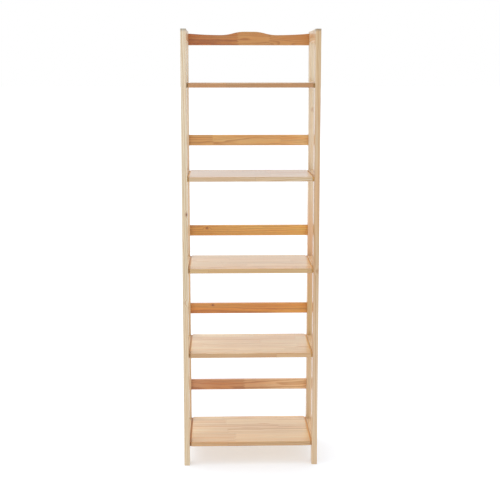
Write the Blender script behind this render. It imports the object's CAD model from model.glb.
"""Ladder shelf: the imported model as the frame, with procedural wood and zinc, in a white studio.

Lengths are in metres and colours in sRGB from 0 to 255, X to the right, Y to the back and Z up.
"""

import math

import bpy
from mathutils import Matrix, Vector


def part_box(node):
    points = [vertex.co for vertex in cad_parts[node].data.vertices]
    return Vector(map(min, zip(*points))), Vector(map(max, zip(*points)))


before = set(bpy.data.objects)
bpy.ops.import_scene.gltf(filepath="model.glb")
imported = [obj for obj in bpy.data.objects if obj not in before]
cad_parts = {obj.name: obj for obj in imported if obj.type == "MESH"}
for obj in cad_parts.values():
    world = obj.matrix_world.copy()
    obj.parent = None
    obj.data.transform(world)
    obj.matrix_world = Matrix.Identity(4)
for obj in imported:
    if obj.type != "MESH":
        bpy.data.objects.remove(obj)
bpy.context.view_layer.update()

# ------------------------------------------------------------------------------------------------
# Driving values

# Camera: the photograph's viewing angle, level with the top board and looking a little down.
CAMERA_PLACE = (-0.106, -3.857, 1.440)
CAMERA_YAW = math.radians(1.59)        # towards +X
CAMERA_TILT = math.radians(9.02)       # downwards
CAMERA_LENS = 74.9                     # millimetres
CAMERA_SENSOR = 36.0                   # millimetres
CAMERA_SHIFT = -0.02                   # part of the picture's width
CAMERA_REACH = 400.0

# Light: a dome with its level at the horizon and its slope along X, Y and Z, a glowing floor and
# a softbox.
DOME_LEVEL = 0.66
DOME_SLOPE = (-0.12, 0.02, 0.42)
FLOOR_COLOUR = (0.55, 0.58, 0.62, 1.0)
FLOOR_GLOW_COLOUR = (1.00, 1.00, 1.01, 1.0)
FLOOR_GLOW = 0.45
FLOOR_REACH = 120.0
OVERHEAD_POWER = 1.1
OVERHEAD_WIDTH = math.radians(70)
OVERHEAD_TURN = (math.radians(-10), math.radians(-14), 0.0)

# Wood tones, in clear satin lacquer.
PALE = (232, 206, 168)                 # earlywood of the sapwood
STRAW = (208, 162, 108)                # latewood of the sapwood
HEART = (212, 152, 90)                 # earlywood of the heartwood
HEART_LATE = (168, 100, 48)            # latewood of the heartwood
KNOT = (118, 66, 34)
GLUE = (150, 104, 66)
STAIN = (208, 158, 96)                 # earlywood of the stained packing strips
STAIN_LATE = (178, 127, 72)            # latewood of the stained packing strips
PLAIN = (1.0, 1.0, 1.0)                # a tint that changes nothing

# Palettes: early and late sapwood, then early and late heartwood.
SOFTWOOD = (PALE, STRAW, HEART, HEART_LATE)
STAINED = (STAIN, STAIN_LATE, STAIN, STAIN_LATE)

# Zinc tones.
ZINC_BRIGHT = (196, 199, 203)
ZINC_DULL = (172, 171, 166)

# Grain, the same for every piece.
RING_WIDTH = 0.0042                    # one year's growth
RING_DRIFT = 0.01925                   # how far the pith wanders
RING_RIPPLE = 0.0020                   # how far a ring wavers
RING_UNEVENNESS = 2.4                  # years by which rings crowd together or spread out
BLOCK_LENGTH = 0.36                    # a finger-jointed block in a board
STAVE_WIDTH = 0.0495                   # six staves make up a board
STAVE_OFFSET = 0.0008                  # from a board's front edge to its first stave
FINGER_LENGTH = 0.009
FINGER_PITCH = 0.0066
GLUE_WIDTH = 0.00035
END_GLUE_WIDTH = 1.6 * GLUE_WIDTH      # between blocks, end to end
TIP_LENGTH = 0.013                     # as far as a leg's top end is darkened
WOOD_RELIEF = 0.00012                  # depth of the grain's bump
ZINC_RELIEF = 0.00002

# Features in a metre, along the grain and across it.
DRIFT_RATES = (2.3, 9.0)
RIPPLE_RATES = (11.0, 70.0)
FIBRE_RATES = (26.0, 900.0)
STREAK_RATES = (3.2, 95.0)
PORE_RATES = (130.0, 1700.0)
CLOUD_RATES = (4.0, 13.0)
WEAR_RATE = 60.0

# Edges.
WORN_EDGE = (0.0004, 0.0032)           # wear is full to the first distance, gone at the second
EASED_EDGE = 0.0007                    # radius left on cut ends by sanding
EASED_ANGLE = math.radians(35)         # edges sharper than this are eased
WELD_DISTANCE = 0.000002

LEG_COAT = 0.5                         # how much lacquer lies on a piece, from 0 to 1
SIDE_RAIL_COAT = 0.4
BACK_RAIL_COAT = 0.6
STRIP_COAT = 0.2
FULL_COAT = 0.9


def linear(colour):
    """A colour socket's value for an sRGB colour from 0 to 255."""
    parts = [c / 255 for c in colour]
    parts = [c / 12.92 if c <= 0.04045 else ((c + 0.055) / 1.055) ** 2.4 for c in parts]
    return parts + [1.0]


# ------------------------------------------------------------------------------------------------
# Node trees


class Nodes:
    """A material's node tree. Each method adds its nodes and returns their output."""

    def __init__(self, name):
        self.material = bpy.data.materials.new(name)
        self.material.use_nodes = True
        self.tree = self.material.node_tree
        self.tree.nodes.clear()

    def feed(self, socket, value):
        """Links a socket to another, or sets it to a value."""
        if isinstance(value, bpy.types.NodeSocket):
            self.tree.links.new(value, socket)
        else:
            socket.default_value = value

    def add(self, kind, inputs, output=0, **settings):
        node = self.tree.nodes.new(kind)
        for key, value in settings.items():
            setattr(node, key, value)
        for key, value in inputs.items():
            self.feed(node.inputs[key], value)
        return node.outputs[output]

    def math(self, operation, *values, clamp=False):
        return self.add("ShaderNodeMath", dict(enumerate(values)), operation=operation, use_clamp=clamp)

    def total(self, *values):
        result = values[0]
        for value in values[1:]:
            result = self.math("ADD", result, value)
        return result

    def scaled(self, value, factor, offset=0.0):
        return self.math("MULTIPLY_ADD", value, factor, offset)

    def fade(self, value, start, end, low=0.0, high=1.0):
        """low at start, high at end, and smooth between them."""
        ends = {"Value": value, "From Min": start, "From Max": end, "To Min": low, "To Max": high}
        return self.add("ShaderNodeMapRange", ends, interpolation_type="SMOOTHSTEP")

    def join(self, x, y, z):
        return self.add("ShaderNodeCombineXYZ", {0: x, 1: y, 2: z})

    def split(self, vector):
        """The X, Y and Z of a vector."""
        node = self.tree.nodes.new("ShaderNodeSeparateXYZ")
        self.tree.links.new(vector, node.inputs[0])
        return list(node.outputs)

    def noise(self, place, detail=2.0, roughness=0.5):
        """Noise around 0, at one feature for each unit of place."""
        ends = {"Vector": place, "Scale": 1.0, "Detail": detail, "Roughness": roughness}
        return self.math("SUBTRACT", self.add("ShaderNodeTexNoise", ends), 0.5)

    def random(self, x, y, z):
        """Three even random values from 0 to 1, always the same ones for the same x, y and z."""
        return self.split(self.add("ShaderNodeTexWhiteNoise", {"Vector": self.join(x, y, z)}, output=1))

    def mix(self, factor, first, second, blend="MIX"):
        """Two colours, mixed by factor."""
        node = self.tree.nodes.new("ShaderNodeMix")
        node.data_type = "RGBA"
        node.blend_type = blend
        ends = [s for s in node.inputs if s.enabled and s.name in ("Factor", "A", "B")]
        for socket, value in zip(ends, (factor, first, second)):
            self.feed(socket, value)
        return next(s for s in node.outputs if s.enabled)

    def shade(self, colour, value):
        """A colour times a number."""
        return self.add("ShaderNodeVectorMath", {0: colour, "Scale": value}, operation="SCALE")

    def tinted(self, colour, tint):
        """A colour times another, channel by channel."""
        return self.mix(1.0, colour, tint, blend="MULTIPLY")

    def tinted_where(self, part, colour, tint):
        """A colour times a tint as far as part is 1, and unchanged where it is 0."""
        return self.tinted(colour, self.mix(part, (*PLAIN, 1.0), tint))

    def coordinates(self):
        """The X, Y and Z of a point in the row frame."""
        return self.split(self.add("ShaderNodeTexCoord", {}, output="Object"))

    def normal(self):
        """The X, Y and Z of the surface's own direction."""
        return self.split(self.add("ShaderNodeNewGeometry", {}, output="True Normal"))

    def finish(self, colour, roughness, height, depth, **constants):
        """The shader, with a bump of depth metres; constants are set on its own sockets."""
        bump = self.add("ShaderNodeBump", {"Strength": 1.0, "Distance": depth, "Height": height})
        ends = {"Base Color": colour, "Roughness": roughness, "Normal": bump}
        self.show(self.add("ShaderNodeBsdfPrincipled", {**ends, **constants}))
        return self.material

    def show(self, shader):
        output = self.tree.nodes.new("ShaderNodeOutputMaterial")
        self.tree.links.new(shader, output.inputs["Surface"])


# ------------------------------------------------------------------------------------------------
# Wood: where a piece lay in its log


def fingers(n, across):
    """How far a finger joint's zigzag reaches along the grain."""
    slope = FINGER_LENGTH / (FINGER_PITCH / 2)
    return n.scaled(n.math("PINGPONG", across, FINGER_PITCH / 2), slope)


def solid_cut(seed, heart, middle):
    """A one-piece bar. side and below say where the pith is, and lean how it runs.

    tone and heart are the piece's own, turn sets its rings apart from the others', line is where
    glue shows, and middle is the middle of its width.
    """
    generator = math.sin(seed * 12.9898) * 43758.5453
    pick = generator - math.floor(generator)
    return {
        "side": pick * 0.05 - 0.025,
        "below": 0.025 + 0.03 * pick,
        "lean": pick * 0.03 - 0.015,
        "tone": 0.0,
        "heart": heart,
        "turn": seed,
        "line": 0.0,
        "middle": middle,
    }


def jointed_cut(n, along, across, joints, values, middle):
    """A rail of finger-jointed blocks. values has each block's tone, heart and lean."""
    place = n.math("ADD", along, fingers(n, across))
    results = list(values[0])
    line = 0.0
    for joint, before, after in zip(joints, values, values[1:]):
        passed = n.math("GREATER_THAN", place, joint)
        changes = zip(results, before, after)
        results = [n.math("MULTIPLY_ADD", passed, b - a, r) for r, a, b in changes]
        near = n.math("ABSOLUTE", n.math("SUBTRACT", place, joint))
        line = n.math("MAXIMUM", line, n.fade(near, 0.0, END_GLUE_WIDTH, 1.0, 0.0))
    tone, heart, lean = results
    return {
        "side": n.scaled(lean, 0.25, 0.012),
        "below": n.scaled(lean, 0.3, 0.034),
        "lean": lean,
        "tone": tone,
        "heart": heart,
        "turn": n.scaled(lean, 90.0),
        "line": line,
        "middle": middle,
    }


def glued_cut(n, along, across, start, seed, heart, patchiness):
    """A board of glued staves, each of finger-jointed blocks that are cut from different logs."""
    row_place = n.scaled(n.math("SUBTRACT", across, start), 1 / STAVE_WIDTH)
    row = n.math("FLOOR", row_place)
    shift = n.random(row, seed, 7.0)[0]
    block_place = n.scaled(n.math("ADD", along, fingers(n, across)), 1 / BLOCK_LENGTH, 10.0)
    block_place = n.math("ADD", block_place, shift)
    block = n.math("FLOOR", block_place)
    row_edge = n.math("PINGPONG", row_place, 0.5)
    block_edge = n.math("PINGPONG", block_place, 0.5)
    row_line = n.fade(row_edge, 0.0, GLUE_WIDTH / STAVE_WIDTH, 1.0, 0.0)
    block_line = n.fade(block_edge, 0.0, END_GLUE_WIDTH / BLOCK_LENGTH, 1.0, 0.0)
    side, below, lean = n.random(row, block, seed)
    tone, heartwood, turn = n.random(block, row, seed + 0.5)
    return {
        "side": n.scaled(side, 0.10, -0.05),
        "below": n.scaled(below, 0.05, 0.022),
        "lean": n.scaled(lean, 0.10, -0.05),
        "tone": n.scaled(tone, 0.11 * patchiness, -0.055 * patchiness),
        "heart": n.scaled(heartwood, 0.6 * patchiness, heart - 0.10 - 0.30 * patchiness),
        "turn": n.scaled(turn, 10.0),
        "line": n.math("MAXIMUM", row_line, block_line),
        "middle": n.scaled(n.math("ADD", row, 0.5), STAVE_WIDTH, start),
    }


# ------------------------------------------------------------------------------------------------
# Wood: what shows on its surface


def edge_closeness(n, place, lowest, highest):
    """1 on a box's edges, where the second smallest distance to a face is small, and 0 elsewhere."""
    gaps = []
    for value, low, high in zip(place, lowest, highest):
        gap = n.math("MINIMUM", n.math("SUBTRACT", value, low), n.math("SUBTRACT", high, value))
        gaps.append(gap)
    a, b, c = gaps
    smaller = n.math("MINIMUM", a, b)
    larger = n.math("MAXIMUM", a, b)
    second = n.math("MINIMUM", larger, n.math("MAXIMUM", smaller, c))
    return n.fade(second, *WORN_EDGE, 1.0, 0.0)


def knots_near(n, place, knots, along_axis):
    """How much of a point lies in a knot and in its halo, and how far knots push the rings aside."""
    core, halo, push = 0.0, 0.0, 0.0
    for centre, radius in knots:
        offsets = [n.math("SUBTRACT", value, middle) for value, middle in zip(place, centre)]
        offsets[along_axis] = n.math("MULTIPLY", offsets[along_axis], 0.62)
        offsets[1] = n.math("MULTIPLY", offsets[1], 0.3)
        vector = {0: n.join(*offsets)}
        distance = n.add("ShaderNodeVectorMath", vector, output="Value", operation="LENGTH")
        core = n.math("MAXIMUM", core, n.fade(distance, 0.55 * radius, radius, 1.0, 0.0))
        halo = n.math("MAXIMUM", halo, n.fade(distance, 0.8 * radius, 2.6 * radius, 1.0, 0.0))
        push = n.math("ADD", push, n.fade(distance, 0.0, 4.2 * radius, 2.2 * radius, 0.0))
    return core, halo, push


def stretched(n, spot, rates, seed):
    """A place for noise that is longer along the grain than across it."""
    along, across, through = spot
    along_rate, across_rate = rates
    ends = n.scaled(along, along_rate), n.scaled(across, across_rate), n.scaled(through, across_rate, seed)
    return n.join(*ends)


def growth_rings(n, spot, face, cut, push, seed):
    """How much of a point is latewood, in rings round the pith that waver along the trunk."""
    along, across, through = spot
    turn = cut["turn"]
    drift = n.scaled(n.noise(stretched(n, spot, DRIFT_RATES, seed), detail=2.0), RING_DRIFT)
    ripple = n.scaled(n.noise(stretched(n, spot, RIPPLE_RATES, seed), detail=1.0), RING_RIPPLE)
    leaning = n.math("MULTIPLY", along, cut["lean"])
    radial = n.total(n.math("SUBTRACT", across, cut["middle"]), cut["side"], leaning, drift)
    depth = n.total(n.math("SUBTRACT", through, face), cut["below"], ripple, n.scaled(drift, 0.7))
    squares = n.math("MULTIPLY_ADD", radial, radial, n.math("MULTIPLY", depth, depth))
    radius = n.total(n.math("SQRT", squares), push, ripple)
    years = n.math("MULTIPLY_ADD", radius, 1 / RING_WIDTH, turn)
    uneven = n.noise(n.join(n.scaled(years, 0.31), seed, turn), detail=0.0)
    years = n.math("MULTIPLY_ADD", uneven, RING_UNEVENNESS, years)
    season = n.math("FRACT", years)
    latewood = n.math("MULTIPLY", n.fade(season, 0.30, 0.86), n.fade(season, 0.90, 1.0, 1.0, 0.0))
    year_noise = n.noise(n.join(n.math("FLOOR", years), seed, turn), detail=0.0)
    return n.math("MULTIPLY", latewood, n.fade(year_noise, -0.25, 0.25, 0.35, 1.0))


def fine_grain(n, spot, seed):
    """Fibres, resin streaks, pores and cloudy patches, all longer than they are wide."""
    fibre = n.noise(stretched(n, spot, FIBRE_RATES, seed), detail=3.0, roughness=0.65)
    streak = n.noise(stretched(n, spot, STREAK_RATES, seed * 1.7), detail=2.0)
    pore = n.fade(n.noise(stretched(n, spot, PORE_RATES, seed), detail=1.0), 0.17, 0.27)
    cloud = n.noise(stretched(n, spot, CLOUD_RATES, seed * 3.1), detail=2.0)
    return fibre, streak, pore, cloud


def tint_along(n, along, low, high, tints):
    """A tint that passes smoothly through the given ones, evenly spaced from low to high."""
    tint = (*tints[0], 1.0)
    step = (high - low) / max(1, len(tints) - 1)
    for index, following in enumerate(tints[1:]):
        start = low + index * step
        tint = n.mix(n.fade(along, start, start + step), tint, (*following, 1.0))
    return tint


def wood(
    name, lowest, highest, axis, seed, tone=1.0, heart=0.0, knots=(), joints=(), values=(), glued=False,
    tints=(PLAIN,), side_tints=(PLAIN,), edge_tint=PLAIN, tip_tint=PLAIN, palette=SOFTWOOD,
    coat=FULL_COAT, patchiness=1.0,
):
    """Lacquered softwood with its grain along axis, cut from a log whose pith lies outside the piece.

    tone brightens or darkens the whole piece and heart, from 0 to 1, is how much of it is heartwood.
    knots are centres and radii. joints are the places of finger joints along the grain, and values
    each block's tone, heart and lean.
    tints colour the piece from its low end to its high end, evenly spaced along the grain. side_tints
    do the same to what faces left and right, edge_tint colours what faces the front and the back, and
    tip_tint colours the faces' last millimetres before the high end, where most lacquer soaks in.
    palette holds the wood's four colours, coat is how much lacquer lies on it, and patchiness is how
    much the blocks of a glued board differ.
    """
    n = Nodes(name)
    place = n.coordinates()
    facing = n.normal()
    across_axis, through_axis = {0: (1, 2), 1: (2, 0), 2: (1, 0)}[axis]
    if axis == 0 and not glued:
        across_axis, through_axis = 2, 1
    spot = place[axis], place[across_axis], place[through_axis]
    along, across, _ = spot
    low, high = lowest[axis], highest[axis]
    middle = (lowest[across_axis] + highest[across_axis]) / 2

    if glued:
        start = lowest[across_axis] + STAVE_OFFSET
        cut = glued_cut(n, along, across, start, seed, heart, patchiness)
    elif joints:
        cut = jointed_cut(n, along, across, joints, values, middle)
    else:
        cut = solid_cut(seed, heart, middle)
    core, halo, push = knots_near(n, place, knots, axis)
    latewood = growth_rings(n, spot, lowest[through_axis], cut, push, seed)
    fibre, streak, pore, cloud = fine_grain(n, spot, seed)
    end_grain = n.fade(n.math("ABSOLUTE", facing[axis]), 0.6, 0.9)

    # Colour: sapwood to heartwood, earlywood to latewood, then knots, glue and worn edges.
    mottled = n.math("MULTIPLY_ADD", cloud, 0.9, cut["heart"])
    hearted = n.math("ADD", mottled, n.scaled(streak, 0.9), clamp=True)
    sap_early, sap_late, heart_early, heart_late = [linear(value) for value in palette]
    early = n.mix(hearted, sap_early, heart_early)
    late = n.mix(hearted, sap_late, heart_late)
    colour = n.mix(latewood, early, late)
    colour = n.mix(n.math("MULTIPLY", halo, 0.55), colour, heart_late)
    colour = n.mix(n.math("MULTIPLY", core, 0.85), colour, linear(KNOT))
    colour = n.mix(n.math("MULTIPLY", cut["line"], 0.6), colour, linear(GLUE))
    rubbed = n.fade(n.noise(n.join(*[n.scaled(value, WEAR_RATE, seed) for value in place])), -0.2, 0.2)
    worn = n.math("MULTIPLY", edge_closeness(n, place, lowest, highest), rubbed)
    colour = n.mix(n.math("MULTIPLY", worn, 0.35), colour, sap_early)
    brightness = n.total(
        n.math("ADD", cut["tone"], tone),
        n.scaled(fibre, 0.24),
        n.scaled(streak, 0.38),
        n.scaled(cloud, 0.10),
        n.scaled(pore, -0.14),
        n.scaled(end_grain, -0.22),
    )
    colour = n.shade(colour, brightness)

    # Tints: along the piece, on its sides, near its high end, and on its front and back.
    colour = n.tinted(colour, tint_along(n, along, low, high, tints))
    on_side = n.fade(n.math("ABSOLUTE", facing[0]), 0.3, 0.9)
    colour = n.tinted_where(on_side, colour, tint_along(n, along, low, high, side_tints))
    beside_end = n.math("SUBTRACT", 1.0, end_grain)
    at_tip = n.math("MULTIPLY", n.fade(along, high - TIP_LENGTH, high), beside_end)
    colour = n.tinted_where(at_tip, colour, (*tip_tint, 1.0))
    on_edge = n.fade(n.math("ABSOLUTE", facing[1]), 0.3, 0.9)
    colour = n.tinted_where(on_edge, colour, (*edge_tint, 1.0))

    glue_groove = n.scaled(cut["line"], -0.9)
    height = n.total(n.scaled(latewood, 0.5), n.scaled(fibre, 0.9), n.scaled(pore, -0.8), glue_groove)
    roughness = n.total(
        n.scaled(fibre, 0.16, 0.36),
        n.scaled(latewood, -0.05),
        n.scaled(worn, 0.10),
        n.scaled(end_grain, 0.18),
    )
    lacquer = {"Coat Weight": coat, "Coat Roughness": 0.22, "IOR": 1.5}
    return n.finish(colour, roughness, height, WOOD_RELIEF, **lacquer)


# ------------------------------------------------------------------------------------------------
# Metal


def zinc(name, seed):
    """Bright zinc plating: crystals of slightly different grey, fine scratches and dull patches."""
    n = Nodes(name)
    place = n.coordinates()
    crystal_place = n.join(*[n.scaled(value, 900.0, seed) for value in place])
    cells = {"Vector": crystal_place, "Scale": 1.0}
    crystal = n.split(n.add("ShaderNodeTexVoronoi", cells, output="Color"))[0]
    patch = n.noise(n.join(*[n.scaled(value, 170.0, seed) for value in place]), detail=3.0)
    scratch_rates = (400.0, 5200.0, 2600.0)
    scratch_place = n.join(*[n.scaled(value, rate) for value, rate in zip(place, scratch_rates)])
    scratch = n.noise(scratch_place, detail=2.0)
    shine = n.total(n.scaled(crystal, 0.12, 0.44), n.scaled(patch, 0.2), n.scaled(scratch, 0.06))
    colour = n.mix(n.fade(patch, -0.2, 0.3), linear(ZINC_BRIGHT), linear(ZINC_DULL))
    colour = n.shade(colour, n.scaled(shine, 0.9, 0.55))
    roughness = n.total(n.scaled(patch, 0.25, 0.30), n.scaled(crystal, 0.06), n.scaled(scratch, 0.10))
    height = n.total(n.scaled(scratch, 1.0), n.scaled(crystal, 0.3))
    return n.finish(colour, roughness, height, ZINC_RELIEF, Metallic=1.0)


# ------------------------------------------------------------------------------------------------
# The shelf's own pieces


def dress(node, material):
    """Gives a CAD node its material."""
    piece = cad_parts[node]
    piece.data.materials.clear()
    piece.data.materials.append(material)
    return piece


def ease_edges(piece):
    """Sands a piece's sharp edges lightly."""
    weld = piece.modifiers.new("weld", "WELD")
    weld.merge_threshold = WELD_DISTANCE
    bevel = piece.modifiers.new("eased_edges", "BEVEL")
    bevel.width = EASED_EDGE
    bevel.segments = 2
    bevel.limit_method = "ANGLE"
    bevel.angle_limit = EASED_ANGLE
    bevel.harden_normals = False


def dress_wood(node, axis, seed, **looks):
    """Gives a CAD node its wood, with the grain along axis, and eased edges."""
    lowest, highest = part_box(node)
    ease_edges(dress(node, wood(node + "_wood", lowest, highest, axis, seed, **looks)))


def dress_legs():
    """Four one-piece legs, each with the odd knot."""
    tints = ((0.91, 1.00, 1.10), (0.86, 0.93, 1.00), (0.96, 1.12, 1.36))
    knots = (
        ((-0.2305, -0.148, 0.944), 0.0036),
        ((-0.240, -0.130, 0.620), 0.0036),
    )
    looks = {"tints": tints, "tip_tint": (0.57, 0.62, 0.69), "knots": knots, "coat": LEG_COAT}
    dress_wood("left_front_leg", 2, 3.1, tone=1.02, heart=0.05, **looks)

    tints = (
        (0.98, 1.04, 1.12), (0.92, 0.94, 0.99), (0.83, 0.75, 0.65), (0.86, 0.85, 0.83),
        (0.92, 0.97, 0.96),
    )
    side_tints = (
        (1.08, 1.04, 1.02), (0.94, 0.76, 0.62), (0.93, 0.84, 0.68), (1.12, 1.14, 1.22),
        (1.06, 1.11, 1.26),
    )
    knots = (((0.238, -0.130, 0.735), 0.0034),)
    looks = {"tints": tints, "side_tints": side_tints, "tip_tint": (0.55, 0.62, 0.76)}
    dress_wood("right_front_leg", 2, 8.6, tone=0.94, heart=0.22, knots=knots, coat=LEG_COAT, **looks)

    tints = ((1.01, 1.00, 1.02), (0.96, 0.90, 0.80), (1.10, 1.18, 1.28), (1.10, 1.32, 1.70))
    looks = {"tints": tints, "knots": (((-0.238, 0.120, 0.400), 0.0050),), "coat": LEG_COAT}
    dress_wood("left_rear_leg", 2, 14.3, tone=0.92, heart=0.15, **looks)

    tints = (
        (1.04, 1.04, 1.04), (1.02, 0.99, 0.96), (0.96, 0.88, 0.66), (1.08, 0.93, 0.86),
        (1.17, 1.30, 1.48), (1.18, 1.39, 1.70), (1.18, 1.38, 1.70),
    )
    looks = {"tints": tints, "knots": (((0.240, 0.125, 1.310), 0.0042),), "coat": LEG_COAT}
    dress_wood("right_rear_leg", 2, 21.7, tone=0.93, heart=0.12, **looks)


def dress_side_rails():
    """The rungs at the boards, and the top rail of each side frame."""
    for index, side in enumerate(("left", "right")):
        dress_wood(side + "_top_side_rail", 1, 31.0 + 7 * index, heart=0.1, coat=SIDE_RAIL_COAT)
        for rung in range(1, 6):
            seed = 40.0 + 11 * index + 2.3 * rung
            heart = 0.1 + 0.05 * (rung % 3)
            dress_wood(f"{side}_rung_{rung}", 1, seed, heart=heart, coat=SIDE_RAIL_COAT)


def dress_boards():
    """Five boards, each glued up from six staves of finger-jointed blocks, with darker long edges."""
    looks = (
        (0.92, 0.36, PLAIN, (0.74, 0.55, 0.36), 1.0),
        (1.07, 0.16, (1.04, 1.05, 1.22), (0.68, 0.67, 0.56), 1.0),
        (1.05, 0.20, (1.05, 1.02, 0.93), (0.70, 0.64, 0.49), 0.8),
        (1.10, 0.20, (1.03, 1.06, 1.04), (0.69, 0.58, 0.46), 0.8),
        (1.00, 0.28, (1.06, 1.03, 0.93), (0.70, 0.59, 0.47), 0.55),
    )
    for index, (tone, heart, tint, edge_tint, patchiness) in enumerate(looks):
        extras = {"tints": (tint,), "edge_tint": edge_tint, "patchiness": patchiness, "glued": True}
        dress_wood(f"shelf_{index + 1}", 0, 61.0 + 5 * index, tone=tone, heart=heart, **extras)


def dress_packing_strips():
    """Stained strips that close the gaps between the boards' ends and the side frames."""
    warm, soft, red = (1.0, 1.08, 0.97), (1.0, 1.12, 1.05), (1.14, 0.90, 0.76)
    looks = {
        "left": ((0.78, warm), (1.18, warm), (1.06, PLAIN), (0.98, PLAIN), (0.79, red)),
        "right": ((0.92, soft), (1.36, soft), (1.36, soft), (1.36, soft), (1.20, PLAIN)),
    }
    for index, (side, side_looks) in enumerate(looks.items()):
        for strip, (tone, tint) in enumerate(side_looks):
            seed = 80.0 + 9 * index + 1.7 * strip
            extras = {"tints": (tint,), "palette": STAINED, "coat": STRIP_COAT}
            dress_wood(f"{side}_packing_strip_{strip + 1}", 1, seed, tone=tone, **extras)


def dress_back_rails():
    """Orange heartwood rails, three of them finger-jointed from blocks that differ in tone."""
    tints = ((0.86, 0.54, 0.26), (0.93, 0.73, 0.40), (0.93, 0.67, 0.32))
    values = ((0.0, 0.85, 0.02), (0.04, 0.55, -0.03), (0.02, 0.62, 0.10))
    looks = {"joints": (-0.037, 0.084), "values": values, "knots": (((0.136, 0.124, 1.523), 0.011),)}
    dress_wood("arched_top_rail", 0, 101.0, tone=0.88, tints=tints, coat=BACK_RAIL_COAT, **looks)

    tints = ((1.20, 1.08, 0.60), (1.20, 1.18, 0.77), (1.28, 1.29, 0.94))
    values = ((-0.02, 0.70, 0.03), (0.04, 0.55, -0.02), (0.03, 0.62, 0.05))
    looks = {"joints": (-0.131, 0.125), "values": values}
    dress_wood("back_rail_2", 0, 107.0, tone=0.90, tints=tints, coat=BACK_RAIL_COAT, **looks)

    tints = ((1.08, 0.86, 0.26), (1.30, 1.26, 0.54), (1.37, 1.36, 0.60))
    looks = {"heart": 0.65, "knots": (((-0.162, 0.124, 0.856), 0.0030),)}
    dress_wood("back_rail_3", 0, 113.0, tone=0.89, tints=tints, coat=BACK_RAIL_COAT, **looks)

    tints = ((1.22, 0.90, 0.32), (1.25, 1.07, 0.40), (1.34, 1.19, 0.50))
    looks = {"heart": 0.78, "knots": (((-0.141, 0.124, 0.551), 0.0030),)}
    dress_wood("back_rail_4", 0, 119.0, tone=0.86, tints=tints, coat=BACK_RAIL_COAT, **looks)

    tints = ((1.02, 0.86, 0.77), (0.99, 0.88, 0.76), (1.26, 1.30, 1.24))
    looks = {"joints": (-0.014,), "values": ((-0.02, 0.75, 0.03), (0.04, 0.55, -0.03))}
    dress_wood("back_rail_5", 0, 127.0, tone=0.92, tints=tints, coat=BACK_RAIL_COAT, **looks)


def dress_fittings():
    """Dowels, bolts and barrel nuts."""
    for seed, (node, axis) in enumerate((("side_frame_dowels", 1), ("back_rail_dowels", 0))):
        lowest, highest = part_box(node)
        dress(node, wood(node + "_wood", lowest, highest, axis, 140.0 + seed, coat=0.0))
    metal = ("shelf_bolts", "back_rail_bolts", "shelf_barrel_nuts", "back_rail_barrel_nuts")
    for seed, node in enumerate(metal):
        dress(node, zinc(node + "_zinc", 3.0 * seed))


# ------------------------------------------------------------------------------------------------
# Studio


def white_world():
    """White to the eye; as light, a soft dome that is brighter above and to the left."""
    world = bpy.data.worlds.new("white_studio")
    world.use_nodes = True
    tree = world.node_tree
    tree.nodes.clear()
    direction = tree.nodes.new("ShaderNodeTexCoord")
    slope = tree.nodes.new("ShaderNodeVectorMath")
    slope.operation = "DOT_PRODUCT"
    slope.inputs[1].default_value = DOME_SLOPE
    tree.links.new(direction.outputs["Generated"], slope.inputs[0])
    strength = tree.nodes.new("ShaderNodeMath")
    strength.operation = "ADD"
    strength.inputs[1].default_value = DOME_LEVEL
    tree.links.new(slope.outputs["Value"], strength.inputs[0])
    lit = tree.nodes.new("ShaderNodeBackground")
    tree.links.new(strength.outputs[0], lit.inputs["Strength"])
    seen = tree.nodes.new("ShaderNodeBackground")
    for background in (lit, seen):
        background.inputs["Color"].default_value = (1.0, 1.0, 1.0, 1.0)
    path = tree.nodes.new("ShaderNodeLightPath")
    mixed = tree.nodes.new("ShaderNodeMixShader")
    output = tree.nodes.new("ShaderNodeOutputWorld")
    tree.links.new(path.outputs["Is Camera Ray"], mixed.inputs[0])
    tree.links.new(lit.outputs[0], mixed.inputs[1])
    tree.links.new(seen.outputs[0], mixed.inputs[2])
    tree.links.new(mixed.outputs[0], output.inputs["Surface"])
    bpy.context.scene.world = world


def floor():
    """A plain white floor, lit from below as a shadowless table is, and reaching past the view."""
    mesh = bpy.data.meshes.new("floor")
    corners = [(x * FLOOR_REACH, y * FLOOR_REACH, 0.0) for x, y in ((-1, -1), (1, -1), (1, 1), (-1, 1))]
    mesh.from_pydata(corners, [], [(0, 1, 2, 3)])
    plane = bpy.data.objects.new("floor", mesh)
    bpy.context.scene.collection.objects.link(plane)
    n = Nodes("floor_paint")
    looks = {
        "Base Color": FLOOR_COLOUR,
        "Roughness": 0.9,
        "Specular IOR Level": 0.0,
        "Emission Color": FLOOR_GLOW_COLOUR,
        "Emission Strength": FLOOR_GLOW,
    }
    n.show(n.add("ShaderNodeBsdfPrincipled", looks))
    mesh.materials.append(n.material)


def overhead_light():
    """A very wide softbox overhead, a little behind and to the left."""
    light = bpy.data.lights.new("overhead", "SUN")
    light.energy = OVERHEAD_POWER
    light.angle = OVERHEAD_WIDTH
    lamp = bpy.data.objects.new("overhead", light)
    lamp.rotation_euler = OVERHEAD_TURN
    bpy.context.scene.collection.objects.link(lamp)


def camera():
    data = bpy.data.cameras.new("camera")
    data.sensor_width = CAMERA_SENSOR
    data.lens = CAMERA_LENS
    data.shift_y = CAMERA_SHIFT
    data.clip_end = CAMERA_REACH
    holder = bpy.data.objects.new("camera", data)
    holder.location = CAMERA_PLACE
    holder.rotation_euler = (math.pi / 2 - CAMERA_TILT, 0.0, -CAMERA_YAW)
    bpy.context.scene.collection.objects.link(holder)
    bpy.context.scene.camera = holder


camera()
white_world()
floor()
overhead_light()
bpy.context.scene.view_settings.view_transform = "Standard"
dress_legs()
dress_side_rails()
dress_boards()
dress_packing_strips()
dress_back_rails()
dress_fittings()
